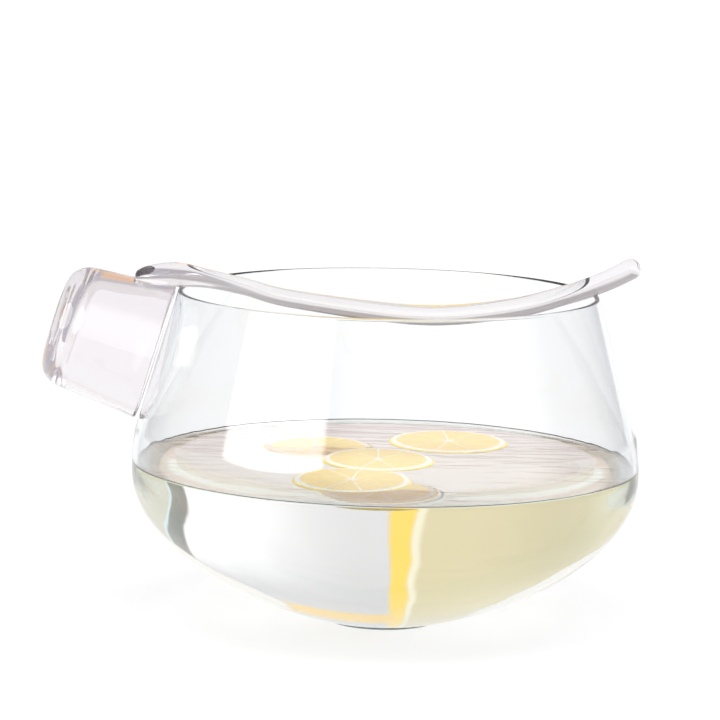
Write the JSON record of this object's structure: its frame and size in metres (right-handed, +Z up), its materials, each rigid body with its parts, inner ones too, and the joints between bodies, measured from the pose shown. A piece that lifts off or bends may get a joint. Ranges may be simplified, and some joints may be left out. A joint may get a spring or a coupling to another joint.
{
  "type": "punch bowl",
  "caption": "Large clear glass punch bowl with a round belly, sloping upper wall and small foot, and a glass ladle laid across its rim with the cup hanging outside.",
  "frame": {"origin": "centre of the bowl's flat underside, on the bowl's axis", "axes": "+Z up along the bowl's axis; +X towards the ladle handle's tip, so the ladle's cup hangs on the -X side"},
  "size_m": [0.3497, 0.2968, 0.216],
  "materials": {
    "bowl_glass": "clear polished glass with fire-polished rim",
    "ladle_glass": "clear hand-drawn glass"
  },
  "bodies": {
    "bowl": {"bowl": "bowl_glass"},
    "ladle": {"ladle_cup": "ladle_glass", "ladle_handle": "ladle_glass"}
  },
  "joints": [
    {"name": "ladle_lift", "type": "slide", "parent": "bowl", "child": "ladle", "axis": [0, 0, 1], "range_m": [0, 0.12]}
  ]
}
